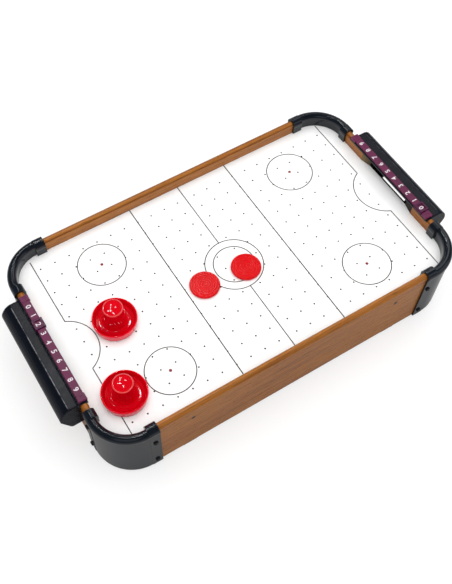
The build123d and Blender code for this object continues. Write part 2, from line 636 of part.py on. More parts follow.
def battery_box():
    case = box(BX0, BX1, BY0, BY1, 21.0, PANEL_Z0)
    case -= box(BX0 + 2, BX1 - 2, BY0 + 2, BY1 - 2, 20.0, PANEL_Z0 - 2)
    # groove for the lid, and the opening at the -X end where it slides out
    case -= box(BX0 - 1, BX1 - 2, BY0 + 1.0, BY1 - 1.0, 22.4, 24.4)
    case -= box(BX0 - 1, BX0 + 3, BY0 + 1.0, BY1 - 1.0, 20.0, 24.4)
    lug_z = PANEL_Z0 - LUG_T, PANEL_Z0
    for x, y in BATTERY_SCREWS:
        root_y = y - math.copysign(4.0, y - BAT_Y)
        case += cyl(x, y, *lug_z, LUG_R) + box(x - LUG_R, x + LUG_R, root_y, y, *lug_z)
    case = drill(case, BATTERY_SCREWS, PANEL_Z0 - 4, PANEL_Z0 + 1, CLEAR)
    return drill(case, LEAD_HOLES, PANEL_Z0 - 3, PANEL_Z0 + 1, LEAD_HOLE_R)


def battery_box_screws():
    screw = pan_screw(head_r=2.8, head_h=1.8, length=4.9)
    return [facing_down(x, y, PANEL_Z0 - LUG_T) * screw for x, y in BATTERY_SCREWS]


def battery_lid():
    lid = box(BX0 + 0.2, BX1 - 2.1, BY0 + 1.1, BY1 - 1.1, 22.5, 24.3)
    for i in range(5):
        groove_x = BX0 + 4 + 3 * i
        lid -= box(groove_x, groove_x + 1.2, BAT_Y - 10, BAT_Y + 10, 22.0, 23.0)
    return lid


def cell(y, end):
    body = cyl_x(BAT_X - 24.4, BAT_X + 24.4, y, CELL_Z, 7.1)
    body = try_fillet(body, body.edges(), 0.5)
    return body + cyl_x(BAT_X + end * 24.0, BAT_X + end * 25.4, y, CELL_Z, 2.6)


def contact_plate(y, end):
    return box(BAT_X + end * 28.95, BAT_X + end * 28.5, y - 4.5, y + 4.5, CELL_Z - 5, CELL_Z + 5)


def button_contact(y, end):
    return contact_plate(y, end) + cyl_x(BAT_X + end * 28.6, BAT_X + end * 25.4, y, CELL_Z, 1.6)


def spring_contact(y, end):
    """A slotted tube stands in for the spring."""
    tube = cyl_x(BAT_X + end * 28.6, BAT_X + end * 24.4, y, CELL_Z, 3.4)
    tube -= cyl_x(BAT_X + end * 29.5, BAT_X + end * 24.0, y, CELL_Z, 2.7)
    slots = [box(BAT_X + end * (25.3 + i), BAT_X + end * (25.7 + i), y - 5, y + 5,
                 CELL_Z - 5, CELL_Z + 2.3) for i in range(3)]
    return contact_plate(y, end) + tube - slots


def contacts():
    return [(button_contact(y, end), spring_contact(y, -end)) for y, end in CELLS]


# ---- switch and leads ---------------------------------------------------------------------------
BEZEL_Z0 = PANEL_Z0 - 1.8
PIVOT_Z, PIVOT_R = 45.5, 1.0
SW_TAG_DY, SW_TAG_TOP = 4.0, 63.0  # the switch's two terminals
WIRE_R = 0.75
RISER_TOP = 47.0


def switch_body():
    body = box(SW_X - 9.6, SW_X + 9.6, SW_Y - 8.6, SW_Y + 8.6, PANEL_Z0 - 0.1, 58.0)
    body += box(SW_X - 12.0, SW_X + 12.0, SW_Y - 11.0, SW_Y + 11.0, BEZEL_Z0, PANEL_Z0)
    low = [e for e in body.edges() if abs(e.center().Z - BEZEL_Z0) < 0.05]
    body = try_fillet(body, low, 0.8)
    body -= box(SW_X - 7.5, SW_X + 7.5, SW_Y - 7.2, SW_Y + 7.2, PANEL_Z0 - 3, 53.0)
    body -= cyl_x(SW_X - 8.5, SW_X + 8.5, SW_Y, PIVOT_Z, PIVOT_R + 0.06)
    for y in (SW_Y - SW_TAG_DY, SW_Y + SW_TAG_DY):
        body += box(SW_X - 2.4, SW_X + 2.4, y - 0.4, y + 0.4, 57.8, SW_TAG_TOP)
    return body


def switch_rocker():
    # (y from the switch's middle, z)
    profile = [(-5.9, 39.6), (0, 40.6), (5.9, 39.6), (5.6, 46.6), (2.4, 49.6), (-2.4, 49.6),
               (-5.6, 46.6)]
    rocker = prism_yz([(SW_Y + y, z) for y, z in profile], SW_X - 7.3, SW_X + 7.3)
    low = [e for e in rocker.edges() if e.center().Z < 41.2 and abs(e.center().X - SW_X) < 0.1]
    rocker = try_fillet(rocker, low, 0.5)
    # tipped about its pivot to one of its two positions
    rocker = Pos(SW_X, SW_Y, PIVOT_Z) * Rot(9.0, 0, 0) * Pos(-SW_X, -SW_Y, -PIVOT_Z) * rocker
    return rocker + cyl_x(SW_X - 8.4, SW_X + 8.4, SW_Y, PIVOT_Z, PIVOT_R)


def lead(*points):
    """Round insulated wire through the points, leaving upwards and arriving downwards."""
    path = Spline(*points, tangents=((0, 0, 1), (0, 0, -1)))
    section = Plane(origin=points[0], z_dir=(0, 0, 1)) * Circle(WIRE_R)
    return sweep(section, path=path)


def battery_lead(hole, *points):
    """Lead with a straight riser through the panel at the hole."""
    x, y = hole
    return cyl(x, y, 37.6, RISER_TOP, WIRE_R) + lead((x, y, RISER_TOP), *points)


def lead_battery_switch():
    x, y = LEAD_HOLES[0]
    return battery_lead(
        (x, y), (x + 6, y - 6, 58), (x + 16, -56, 67), (SW_X - 4, SW_Y - 3.0, 70.0),
        (SW_X, SW_Y - SW_TAG_DY, SW_TAG_TOP))


def lead_switch_motor():
    return lead(
        (SW_X, SW_Y + SW_TAG_DY, SW_TAG_TOP), (SW_X + 8, SW_Y + 10.0, 68.0),
        (SW_X + 30, -45, 66), (FAN_X - 11.0, -12, 66.5),
        (FAN_X - MOTOR_TAG_DX, FAN_Y, MOTOR_TAG_TOP))


def lead_battery_motor():
    x, y = LEAD_HOLES[1]
    return battery_lead(
        (x, y), (x + 7, y + 3, 56), (-62, 30, 61), (-40, 30, 62), (-18, 22, 62),
        (FAN_X + 3.0, 11, 62.0), (FAN_X + MOTOR_TAG_DX, FAN_Y, MOTOR_TAG_TOP))


def foot(end, side):
    x, y = end * 150, side * RAIL_MID_Y
    pad = box(x - 11, x + 11, y - 3.8, y + 3.8, 0, FOOT_H)
    return try_fillet(pad, pad.edges().filter_by(Axis.Z), 2.0)


# ---- build --------------------------------------------------------------------------------------
save("playfield_board", board())
for side, name in SIDE_NAMES.items():
    save("side_rail_" + name, side_rail(side))
for end, name in END_NAMES.items():
    save("end_rail_" + name, end_rail(end))

cap = corner_cap()
for end, side in CORNERS:
    name = f"corner_cap_{SIDE_NAMES[side]}_{END_NAMES[end]}"
    save(name, place_corner(cap, end, side))
save("corner_screws", corner_screws())
save("rail_screws", rail_screws())

for name, place in BATTENS.items():
    save(name, batten(*place))
save("base_panel", base_panel())
save("base_panel_screws", base_panel_screws())
save("fan_housing", fan_housing())
save("motor_bracket", motor_bracket())
save("fan_screws", fan_screws())
save("fan_motor", fan_motor())
save("motor_shaft", fan_cyl(17.5, 53.0, SHAFT_R))
save("impeller", impeller())
save("battery_box", battery_box())
save("battery_box_screws", battery_box_screws())
save("battery_lid", battery_lid())
save("battery_cells", [cell(y, end) for y, end in CELLS])
save("battery_contacts", contacts())
save("switch_body", switch_body())
save("switch_rocker", switch_rocker())
save("lead_battery_switch", lead_battery_switch())
save("lead_switch_motor", lead_switch_motor())
save("lead_battery_motor", lead_battery_motor())

goal, strip, marker = goal_box(), score_strip(), score_marker()
for end, name in END_NAMES.items():
    save("goal_box_" + name, at_end(goal, end, GOAL_Y[end]))
    save("score_strip_" + name, at_end(strip, end, GOAL_Y[end]))
    save("score_marker_" + name, at_end(marker, end, GOAL_Y[end] + MARK_AT[end]))
save("goal_box_screws", goal_screws())

for name, (x, y) in MALLETS.items():
    save(name + "_body", mallet(x, y))
    save(name + "_felt", mallet_felt(x, y))
for name, (x, y) in PUCKS.items():
    save(name, puck(x, y))
save("rubber_feet", [foot(end, side) for end, side in CORNERS])
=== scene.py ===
"""Tabletop air hockey game, with two mallets and two pucks on its field.

The table's long side lies along X and its short side along Y, with Z up. The two goals are at
the X ends, and the left one is at -X. The frame is centred on the origin.
"""

import json
import math

import bpy
import bmesh
from mathutils import Matrix, Vector

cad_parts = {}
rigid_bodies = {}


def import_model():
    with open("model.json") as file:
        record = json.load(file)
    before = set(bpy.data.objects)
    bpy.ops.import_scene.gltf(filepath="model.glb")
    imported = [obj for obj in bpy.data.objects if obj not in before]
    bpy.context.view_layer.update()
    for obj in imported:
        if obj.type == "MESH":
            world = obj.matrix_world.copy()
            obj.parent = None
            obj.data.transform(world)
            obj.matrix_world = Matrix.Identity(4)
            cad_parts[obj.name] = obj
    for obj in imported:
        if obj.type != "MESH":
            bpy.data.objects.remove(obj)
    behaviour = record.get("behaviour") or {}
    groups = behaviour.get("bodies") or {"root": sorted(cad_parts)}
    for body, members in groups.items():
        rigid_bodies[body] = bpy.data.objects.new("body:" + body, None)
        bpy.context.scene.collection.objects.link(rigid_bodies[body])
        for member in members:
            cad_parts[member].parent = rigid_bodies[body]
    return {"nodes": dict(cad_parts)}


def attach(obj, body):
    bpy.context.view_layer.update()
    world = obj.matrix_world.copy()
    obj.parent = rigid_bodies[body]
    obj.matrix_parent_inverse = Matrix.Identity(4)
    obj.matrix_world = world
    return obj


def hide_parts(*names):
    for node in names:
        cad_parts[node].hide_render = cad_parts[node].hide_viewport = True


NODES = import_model()["nodes"]
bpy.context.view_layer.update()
SCENE = bpy.context.scene
OBJECTS = SCENE.collection.objects

MM = 0.001
FIELD = 0.079                   # height of the playing surface, m

# the rest of this block is in mm
PRINT = (3.8, -1.4)             # centre of the printed pattern and of the air holes
HOLE_PITCH = 20.0
HOLE_GAP = 25.54                # between the innermost holes on either side of the centre line
MALLETS = {"mallet_1": (-164.5, 2.3), "mallet_2": (-200.6, -88.9)}
PUCKS = {"puck_1": (-45.0, -9.8), "puck_2": (13.2, -14.0)}

PAINT_GAIN = 1.2                # the lights overfill white by this much, so colours are held back
MIDDLE = (0.3, 0.7)             # the range that holds most of a noise texture's values
NARROW = (0.35, 0.65)
BLACK, WHITE = (0, 0, 0, 1), (1, 1, 1, 1)


# ================================================================ colours and shader nodes
def srgb(*channels):
    """Linear colour from 0-255 display values, held back for the strong light."""
    linear = []
    for c in channels:
        c = c / 255.0
        c = c / 12.92 if c <= 0.04045 else ((c + 0.055) / 1.055) ** 2.4
        linear.append(c / PAINT_GAIN)
    return (*linear, 1.0)


def shade(colour, gain, lift=0.0):
    return (*[min(1, c * gain + lift) for c in colour[:3]], 1)


class Shader:
    """Short calls for the nodes of one tree. Values may be numbers or sockets."""

    def __init__(self, tree, coordinates):
        self.tree = tree
        tree.nodes.clear()
        self.coord = self.node("TexCoord").outputs[coordinates]

    def feed(self, value, socket):
        if isinstance(value, bpy.types.NodeSocket):
            self.tree.links.new(value, socket)
        elif value is not None:
            socket.default_value = value

    def node(self, kind, inputs=None, **settings):
        node = self.tree.nodes.new("ShaderNode" + kind)
        for key, value in settings.items():
            setattr(node, key, value)
        for key, value in (inputs or {}).items():
            self.feed(value, node.inputs[key])
        return node

    def mapping(self, scale, rot=(0, 0, 0)):
        inputs = {"Vector": self.coord, "Scale": scale, "Rotation": rot}
        return self.node("Mapping", inputs).outputs[0]

    def noise(self, scale, detail=3, rough=0.6, distortion=0.0, vec=None, out="Fac"):
        inputs = {"Scale": scale, "Detail": detail, "Roughness": rough,
                  "Distortion": distortion, "Vector": vec or self.coord}
        return self.node("TexNoise", inputs).outputs[out]

    def math(self, operation, a, b=None, clamp=False):
        return self.node("Math", {0: a, 1: b}, operation=operation, use_clamp=clamp).outputs[0]

    def add(self, a, b, clamp=False):
        return self.math("ADD", a, b, clamp)

    def sub(self, a, b):
        return self.math("SUBTRACT", a, b)

    def mul(self, *values):
        """Product, paired from the last value back."""
        product = values[-1]
        for value in reversed(values[:-1]):
            product = self.math("MULTIPLY", value, product)
        return product

    def abs(self, value):
        return self.math("ABSOLUTE", value)

    def larger(self, a, b):
        return self.math("MAXIMUM", a, b)

    def above(self, value, limit):
        return self.math("GREATER_THAN", value, limit)

    def below(self, value, limit):
        return self.math("LESS_THAN", value, limit)

    def between(self, value, low, high):
        return self.mul(self.above(value, low), self.below(value, high))

    def clamp(self, value):
        return self.math("MINIMUM", 1.0, self.larger(0.0, value))

    def length(self, x, y):
        return self.math("SQRT", self.add(self.mul(x, x), self.mul(y, y)))

    def remap(self, value, to=(0.0, 1.0), span=MIDDLE):
        """The range span of the value, stretched to the range to."""
        inputs = {"Value": value, "From Min": span[0], "From Max": span[1],
                  "To Min": to[0], "To Max": to[1]}
        return self.node("MapRange", inputs).outputs[0]

    def ramp(self, fac, stops):
        """Colour ramp. stops: (position, colour)."""
        node = self.node("ValToRGB", {0: fac})
        elements = node.color_ramp.elements
        while len(elements) < len(stops):
            elements.new(0.5)
        for element, (position, colour) in zip(elements, stops):
            element.position = position
            element.color = colour
        return node.outputs[0]

    def mix(self, fac, a, b, blend="MIX"):
        inputs = {"Factor": fac, 6: a, 7: b}
        return self.node("Mix", inputs, data_type="RGBA", blend_type=blend).outputs[2]

    def tones(self, fac, first, second, span=MIDDLE):
        return self.mix(self.remap(fac, span=span), first, second)

    def bump(self, height, strength, distance, normal=None):
        inputs = {"Strength": strength, "Distance": distance, "Height": height, "Normal": normal}
        return self.node("Bump", inputs).outputs[0]

    def xyz(self, vec=None):
        return self.node("SeparateXYZ", {0: vec or self.coord}).outputs

    def geometry(self, out):
        return self.node("NewGeometry").outputs[out]

    def normals(self):
        return self.xyz(self.geometry("Normal"))

    def bevel(self, radius, samples):
        """Surface normal with every sharp edge rounded by radius."""
        return self.node("Bevel", {"Radius": radius}, samples=samples).outputs[0]

    def edge_mask(self, radius, span, axis=None):
        """1 along sharp edges, 0 on faces. With an axis, only edges that turn towards it."""
        soft = self.bevel(radius, samples=4)
        normal = self.geometry("Normal")
        if axis is None:
            dot = self.node("VectorMath", {0: soft, 1: normal}, operation="DOT_PRODUCT")
            turn = self.sub(1.0, dot.outputs["Value"])
        else:
            turn = self.abs(self.sub(self.xyz(soft)[axis], self.xyz(normal)[axis]))
        return self.clamp(self.remap(turn, span=span))


class Material(Shader):
    """A material with one Principled surface."""

    SOCKETS = {
        "color": "Base Color", "rough": "Roughness", "metal": "Metallic", "normal": "Normal",
        "spec": "Specular IOR Level", "coat_rough": "Coat Roughness",
        "sss": "Subsurface Weight", "sss_scale": "Subsurface Scale",
        "sss_radius": "Subsurface Radius", "sheen": "Sheen Weight",
        "sheen_rough": "Sheen Roughness", "glow": "Emission Color",
        "glow_strength": "Emission Strength",
    }

    def __init__(self, name):
        self.data = bpy.data.materials.new(name)
        self.data.use_nodes = True
        super().__init__(self.data.node_tree, "Object")

    def surface(self, **values):
        inputs = {self.SOCKETS[key]: value for key, value in values.items()}
        principled = self.node("BsdfPrincipled", inputs)
        self.node("OutputMaterial", {0: principled.outputs[0]})
        return self.data


# ================================================================ materials
def rail_cuts(mat, axis):
    """Mask of the rails' cut faces, and their colour: raw fibreboard, with painted shade deep in
    the goal mouth.
    """
    normal = mat.normals()
    down = mat.below(normal[2], -0.9)
    raw = mat.ramp(mat.noise(scale=900, detail=4, rough=0.7),
                   [(0.3, srgb(104, 86, 54)), (0.7, srgb(146, 124, 84))])
    if axis == "X":
        return mat.larger(mat.above(mat.abs(normal[0]), 0.5), down), raw

    # end rails: also the slanted faces and the floor of the goal mouth
    pos = mat.xyz()
    slanted = mat.above(mat.abs(normal[1]), 0.15)
    flat = mat.mul(mat.above(normal[2], 0.95), mat.below(pos[2], 0.080))
    cut = mat.larger(mat.larger(slanted, down), flat)
    # painted shade: the mouth goes dark towards the goal box, and the faces on the shaded side go
    # dark
    deep = mat.remap(mat.abs(pos[0]), span=(0.2436, 0.2478))
    shaded_side = mat.above(mat.mul(normal[1], pos[0]), 0.02)
    deep = mat.clamp(mat.larger(deep, mat.mul(shaded_side, 0.92)))
    deep = mat.mul(deep, mat.above(pos[2], 0.0695))
    return cut, mat.mix(deep, raw, (0.006, 0.006, 0.006, 1))


def wood_vinyl(name, axis):
    """Orange-brown printed wood on a vinyl wrap, its grain along the axis."""
    mat = Material(name)
    along_x = axis == "X"

    def stretched(along, across):
        return mat.mapping((along, across, across) if along_x else (across, along, across))

    vec = stretched(3.0, 60)
    warp = mat.noise(scale=1.3, rough=0.55, distortion=0.6, vec=vec, out="Color")
    warped = mat.node("VectorMath", {0: warp, 1: (0.9, 0.9, 0.9), 2: vec},
                      operation="MULTIPLY_ADD").outputs[0]
    grain = mat.noise(scale=1.7, detail=6, rough=0.62, distortion=0.2, vec=warped)
    fine = mat.noise(scale=9.0, detail=5, rough=0.7, vec=stretched(6, 150))
    cloud = mat.noise(scale=14, detail=2, rough=0.5)
    base = mat.ramp(grain, [(0.28, srgb(124, 68, 14)), (0.42, srgb(168, 98, 22)),
                            (0.55, srgb(188, 116, 32)), (0.72, srgb(146, 84, 18))])
    lines = mat.ramp(fine, [(0.38, BLACK), (0.56, WHITE)])
    base = mat.mix(mat.mul(mat.sub(1.0, lines), 0.5), base, srgb(92, 46, 10))
    base = mat.mix(mat.remap(cloud, to=(0.0, 0.16)), base, srgb(180, 114, 40))

    # painted light across the rail's top: darker at the inner edge, a painted highlight band next
    # to it, duller further out, and a painted highlight line at the outer edge
    across = mat.remap(mat.abs(mat.xyz()[1 if along_x else 0]),
                       span=(0.141, 0.150) if along_x else (0.243, 0.252))
    painted_light_bands = mat.ramp(across, [
        (0.02, (0.42, 0.36, 0.32, 1)), (0.11, (0.62, 0.58, 0.55, 1)), (0.20, WHITE),
        (0.46, WHITE), (0.56, (0.76, 0.74, 0.70, 1)), (0.93, (0.80, 0.79, 0.77, 1)),
        (0.975, WHITE)])
    level = mat.above(mat.normals()[2], 0.35)
    # painted light: the upward faces are also a little lighter
    painted_top_light = mat.mix(1.0, base, (1.06, 1.06, 1.06, 1), "MULTIPLY")
    base = mat.mix(level, base, mat.mix(1.0, painted_top_light, painted_light_bands, "MULTIPLY"))

    # cut faces are raw fibreboard; on the end rails they carry painted shade deep in the goal
    # mouth
    cut, raw = rail_cuts(mat, axis)
    height = mat.add(mat.mul(lines, 0.6), mat.mul(grain, 0.4))
    return mat.surface(
        color=mat.mix(cut, base, raw), spec=0.36,
        rough=mat.add(mat.mul(cut, 0.45), mat.remap(fine, to=(0.24, 0.36)), clamp=True),
        normal=mat.bump(height, strength=0.12, distance=0.0003))


def crease_line(mat, x, z, half_length):
    """Painted highlight line along Y on top faces: |x| in a range, above z, fainter at the right.
    """
    pos, up = mat.xyz(), mat.normals()
    line = mat.between(mat.abs(pos[0]), *x)
    line = mat.mul(line, mat.above(pos[2], z), mat.above(up[2], 0.5))
    line = mat.mul(line, mat.below(mat.abs(pos[1]), half_length))
    return mat.mul(line, mat.remap(pos[0], to=(1.0, 0.25), span=(-0.1, 0.1)))


def black_plastic(name, base, rough, grain, scale=1400, edge=0.0, crease=None, spec=0.5,
                  soft=0.0005):
    """edge: how light the edges are painted, a painted highlight broken into patches like edge
    wear. soft: how far they are rounded in the shading.
    """
    mat = Material(name)
    cloud = mat.noise(scale=35, rough=0.5)
    speck = mat.noise(scale=scale)
    colour = mat.tones(cloud, shade(base, 0.82), shade(base, 1.22))
    normal = None
    if edge > 0:
        # painted highlight along sharp edges (with a crease, only the end rims and the crease
        # line), patchy like edge wear
        edge_highlight_and_wear = mat.edge_mask(radius=0.0005, span=(0.1, 0.5), axis=1 if crease else None)
        if crease:
            edge_highlight_and_wear = mat.larger(edge_highlight_and_wear, crease_line(mat, **crease))
        patchy = mat.remap(mat.noise(scale=160), to=(0.15, 1.0), span=(0.4, 0.6))
        colour = mat.mix(mat.mul(edge_highlight_and_wear, patchy), colour, (edge, edge * 1.02, edge * 1.05, 1))
        normal = mat.bevel(soft, samples=6)
    scratch = mat.noise(scale=90, detail=6, rough=0.75, distortion=0.8)
    height = mat.add(mat.mul(speck, grain), mat.mul(cloud, 0.05))
    return mat.surface(
        color=colour, coat_rough=0.12, spec=spec,
        rough=mat.remap(scratch, to=(rough * 0.85, rough * 1.2), span=NARROW),
        normal=mat.bump(height, strength=0.35, distance=0.00012, normal=normal))


def mallet_marks(mat, colour, centre):
    """Adds painted light: bounce light on the outward face of the rim wall, and a highlight ring
    round the knob's top.
    """
    pos, normal = mat.xyz(), mat.normals()
    dx, dy = (mat.sub(pos[i], centre[i] * MM) for i in (0, 1))
    outward = mat.add(mat.mul(dx, normal[0]), mat.mul(dy, normal[1]))
    radius = mat.length(dx, dy)
    # painted bounce light on the outward face of the rim wall
    wall = mat.mul(mat.above(outward, 0.018), mat.above(radius, 0.0255))
    colour = mat.mix(mat.mul(wall, 0.75), colour, srgb(246, 62, 84))
    # painted highlight ring round the knob's top
    ring = mat.mul(mat.above(pos[2], FIELD + 0.0349), mat.between(radius, 0.0108, 0.0127))
    return mat.mix(mat.mul(ring, 0.4), colour, srgb(255, 130, 130))


def red_plastic(name, base, deep, rough, sss=0.25, spec=0.34, wavy=0.12, centre=None):
    """centre: the mallet's axis in mm, for the painted light that goes round it."""
    mat = Material(name)
    flow = mat.noise(scale=22, detail=4, rough=0.55, distortion=0.8)
    colour = mat.tones(flow, base, deep)
    if centre is not None:
        colour = mallet_marks(mat, colour, centre)
    fine = mat.noise(scale=260, rough=0.55)
    swirl = mat.noise(scale=70, detail=5, rough=0.7, distortion=0.7,
                      vec=mat.mapping(scale=(1, 1, 5), rot=(0.4, 0.1, 0.2)))
    height = mat.add(mat.mul(flow, 0.6), mat.mul(fine, 0.12))
    return mat.surface(
        color=colour, spec=spec, sss=sss, sss_scale=0.004, sss_radius=(1.0, 0.12, 0.08),
        rough=mat.remap(swirl, to=(rough * 0.75, rough * 1.5), span=NARROW),
        normal=mat.bump(height, strength=wavy, distance=0.0002))


def hole_burrs(mat, pos):
    """Mask of the narrow ring of painted shade round every air hole, which makes the holes read
    darker.
    """
    def from_centre(axis):
        return mat.abs(mat.sub(pos[axis], PRINT[axis] * MM))

    half, pitch = HOLE_PITCH / 2 * MM, HOLE_PITCH * MM
    cell = []       # distance to the nearest hole along X and along Y
    for axis, start in enumerate((HOLE_GAP / 2 * MM, 0.0)):
        offset = mat.add(mat.sub(from_centre(axis), start), half)
        cell.append(mat.sub(mat.math("FLOORED_MODULO", offset, pitch), half))
    ragged = mat.remap(mat.noise(scale=900, detail=2), to=(-0.00012, 0.00012))
    hole_shade = mat.below(mat.add(mat.length(*cell), ragged), 0.00112)
    # only inside the drilled area, and not on the centre line
    x, y = from_centre(0), from_centre(1)
    hole_shade = mat.mul(hole_shade, mat.below(x, 0.2150), mat.below(y, 0.1220))
    return mat.mul(hole_shade, mat.above(x, 0.0110))


def board_white():
    mat = Material("field_melamine")
    mottle = mat.noise(scale=28, detail=5)
    fine = mat.noise(scale=520)
    side = mat.below(mat.normals()[2], 0.5)
    top = mat.tones(mottle, (0.885, 0.885, 0.88, 1), (0.93, 0.93, 0.925, 1))
    raw = mat.ramp(mat.noise(scale=900), [(0.3, srgb(44, 34, 26)), (0.7, srgb(66, 52, 40))])
    # painted shade round the air holes
    hole_shade_rings = hole_burrs(mat, mat.xyz())
    # scuffs: long thin arcs of different gloss where pucks have run
    scuff = mat.noise(scale=9, detail=7, rough=0.78, distortion=1.4,
                      vec=mat.mapping(scale=(1, 3.5, 1), rot=(0, 0, 0.35)))
    gloss = mat.remap(scuff, to=(0.26, 0.44), span=NARROW)
    return mat.surface(
        color=mat.mix(hole_shade_rings, mat.mix(side, top, raw), (0.055, 0.045, 0.04, 1)), spec=0.35,
        rough=mat.add(gloss, mat.mul(side, 0.4), clamp=True),
        normal=mat.bump(mat.add(fine, mat.mul(mottle, 0.6)), strength=0.06, distance=0.0001))


def ink(name, base):
    mat = Material(name)
    grain = mat.noise(scale=700, rough=0.7)
    return mat.surface(
        color=mat.tones(grain, shade(base, 0.75), shade(base, 1.5, lift=0.01), span=NARROW),
        rough=mat.remap(grain, to=(0.35, 0.55)), spec=0.4)


def purple(name, base, rough=0.3):
    mat = Material(name)
    flow = mat.noise(scale=40, detail=4, distortion=0.5)
    colour = mat.tones(flow, shade(base, 0.8), shade(base, 1.2))
    # painted highlight along the strip's convex edges
    edge = mat.remap(mat.geometry("Pointiness"), to=(0.0, 0.35), span=(0.53, 0.6))
    return mat.surface(
        color=mat.mix(edge, colour, shade(base, 2.0, lift=0.02)), spec=0.15,
        rough=mat.remap(flow, to=(rough * 0.8, rough * 1.3)),
        normal=mat.bump(mat.noise(scale=900), strength=0.2, distance=0.0001))


def metal(name, base, rough, metallic=1.0):
    mat = Material(name)
    brushed = mat.noise(scale=300, detail=4, rough=0.7)
    return mat.surface(
        color=mat.tones(brushed, shade(base, 0.8), shade(base, 1.2)), metal=metallic,
        rough=mat.remap(brushed, to=(rough * 0.8, rough * 1.3)),
        normal=mat.bump(brushed, strength=0.15, distance=0.00005))


def fibreboard(name, dark, light, scale, long_axis=None):
    mat = Material(name)
    stretch = {"X": (0.12, 1, 1), "Y": (1, 0.12, 1)}
    vec = mat.mapping(stretch[long_axis]) if long_axis else None
    chips = mat.noise(scale=scale, detail=5, rough=0.72, distortion=0.3, vec=vec)
    patches = mat.noise(scale=scale / 18, detail=4, distortion=0.4, vec=vec)
    colour = mat.tones(chips, dark, light, span=(0.32, 0.68))
    stain = mat.remap(patches, to=(0.0, 0.35), span=(0.35, 0.7))
    return mat.surface(
        color=mat.mix(stain, colour, shade(dark, 0.55)), spec=0.25,
        rough=mat.remap(chips, to=(0.62, 0.85)),
        normal=mat.bump(chips, strength=0.35, distance=0.0003))


def felt():
    mat = Material("felt_dark")
    fibre = mat.noise(scale=1500, detail=6, rough=0.8, distortion=0.5)
    return mat.surface(
        color=mat.tones(fibre, (0.012, 0.012, 0.013, 1), (0.07, 0.068, 0.066, 1)),
        rough=0.95, sheen=0.6, sheen_rough=0.5, spec=0.1,
        normal=mat.bump(fibre, strength=0.8, distance=0.0004))


def rubber():
    mat = Material("foot_rubber")
    grain = mat.noise(scale=600, detail=4, rough=0.7)
    return mat.surface(
        color=mat.tones(grain, (0.012, 0.012, 0.012, 1), (0.04, 0.04, 0.04, 1)),
        rough=mat.remap(grain, to=(0.65, 0.9)), spec=0.3,
        normal=mat.bump(grain, strength=0.4, distance=0.0002))


def cell_jacket():
    """Battery cell: dark jacket with a coppery band and bare ends."""
    mat = Material("cell_jacket")
    band = mat.above(mat.add(mat.xyz()[0], 0.115), 0.010)      # the cells centre on x = -0.115
    end = mat.above(mat.abs(mat.normals()[0]), 0.6)
    colour = mat.mix(band, (0.022, 0.023, 0.026, 1), (0.45, 0.22, 0.07, 1))
    grain = mat.noise(scale=500)
    return mat.surface(
        color=mat.mix(end, colour, (0.62, 0.62, 0.60, 1)),
        metal=mat.larger(end, mat.mul(band, 0.7)), rough=mat.remap(grain, to=(0.22, 0.34)),
        normal=mat.bump(grain, strength=0.1, distance=0.0001))


def floor_pale():
    mat = Material("floor_pale")
    cloud = mat.noise(scale=3.0, rough=0.5)
    seen = mat.node("LightPath").outputs["Is Camera Ray"]      # glows for the camera only
    return mat.surface(
        color=mat.mix(cloud, (0.47, 0.47, 0.47, 1), (0.49, 0.49, 0.49, 1)),
        rough=0.8, spec=0.1, glow=WHITE, glow_strength=mat.mul(seen, 0.52))


MALLET_RED = dict(base=srgb(240, 4, 28), deep=srgb(216, 0, 20), rough=0.06, wavy=0.035, spec=0.29)
BATTEN = dict(dark=srgb(182, 146, 100), light=srgb(214, 182, 138), scale=420)
GOAL_CREASE = dict(x=(0.2650, 0.2660), z=0.0945, half_length=0.0765)

MATERIALS = {
    "wood_x": wood_vinyl("rail_wood_long", axis="X"),
    "wood_y": wood_vinyl("rail_wood_end", axis="Y"),
    "board": board_white(),
    "cap": black_plastic("corner_black", base=(0.0040, 0.0066, 0.0108), rough=0.14,
                         grain=0.06, edge=0.03, spec=0.42),
    "goal": black_plastic("goal_black", base=(0.0030, 0.0040, 0.0085), rough=0.27, grain=0.5,
                          scale=1500, edge=0.2, crease=GOAL_CREASE, spec=0.16, soft=0.003),
    "matte": black_plastic("matte_black", base=(0.02, 0.02, 0.021), rough=0.5, grain=1.0,
                           scale=1100),
    "fan": black_plastic("fan_grey", base=(0.05, 0.05, 0.053), rough=0.45, grain=0.6,
                         scale=1100),
    "purple": purple("strip_purple", base=srgb(105, 37, 74)),
    "marker": purple("marker_purple", base=srgb(66, 12, 50), rough=0.22),
    "red": red_plastic("mallet_red", **MALLET_RED),
    "mallet_1": red_plastic("mallet_red_1", **MALLET_RED, centre=MALLETS["mallet_1"]),
    "mallet_2": red_plastic("mallet_red_2", **MALLET_RED, centre=MALLETS["mallet_2"]),
    "puck": red_plastic("puck_red", base=srgb(234, 2, 14), deep=srgb(216, 0, 8), rough=0.2,
                        sss=0.1, spec=0.2, wavy=0.2),
    "black_screw": metal("black_oxide", base=(0.03, 0.03, 0.032), rough=0.3, metallic=0.6),
    "zinc": metal("zinc_steel", base=(0.62, 0.61, 0.58), rough=0.3),
    "nickel": metal("nickel_steel", base=(0.72, 0.71, 0.69), rough=0.2),
    "raw": fibreboard("raw_hardboard", dark=srgb(112, 80, 50), light=srgb(160, 122, 82),
                      scale=600),
    "batten_x": fibreboard("batten_long", **BATTEN, long_axis="X"),
    "batten_y": fibreboard("batten_end", **BATTEN, long_axis="Y"),
    "felt": felt(),
    "rubber": rubber(),
    "cell": cell_jacket(),
    "rocker": red_plastic("rocker_red", base=srgb(190, 10, 14), deep=srgb(150, 4, 8),
                          rough=0.3, sss=0.05),
    "wire_red": red_plastic("wire_red", base=srgb(186, 20, 20), deep=srgb(150, 8, 10),
                            rough=0.35, sss=0.05),
    "wire_black": black_plastic("wire_black", base=(0.015, 0.015, 0.015), rough=0.4, grain=0.4),
    "ink": ink("ink_black", base=srgb(26, 22, 22)),
    "ink_red": ink("ink_red", base=srgb(140, 8, 26)),
    "digit": ink("digit_white", base=(0.60, 0.55, 0.58)),
}

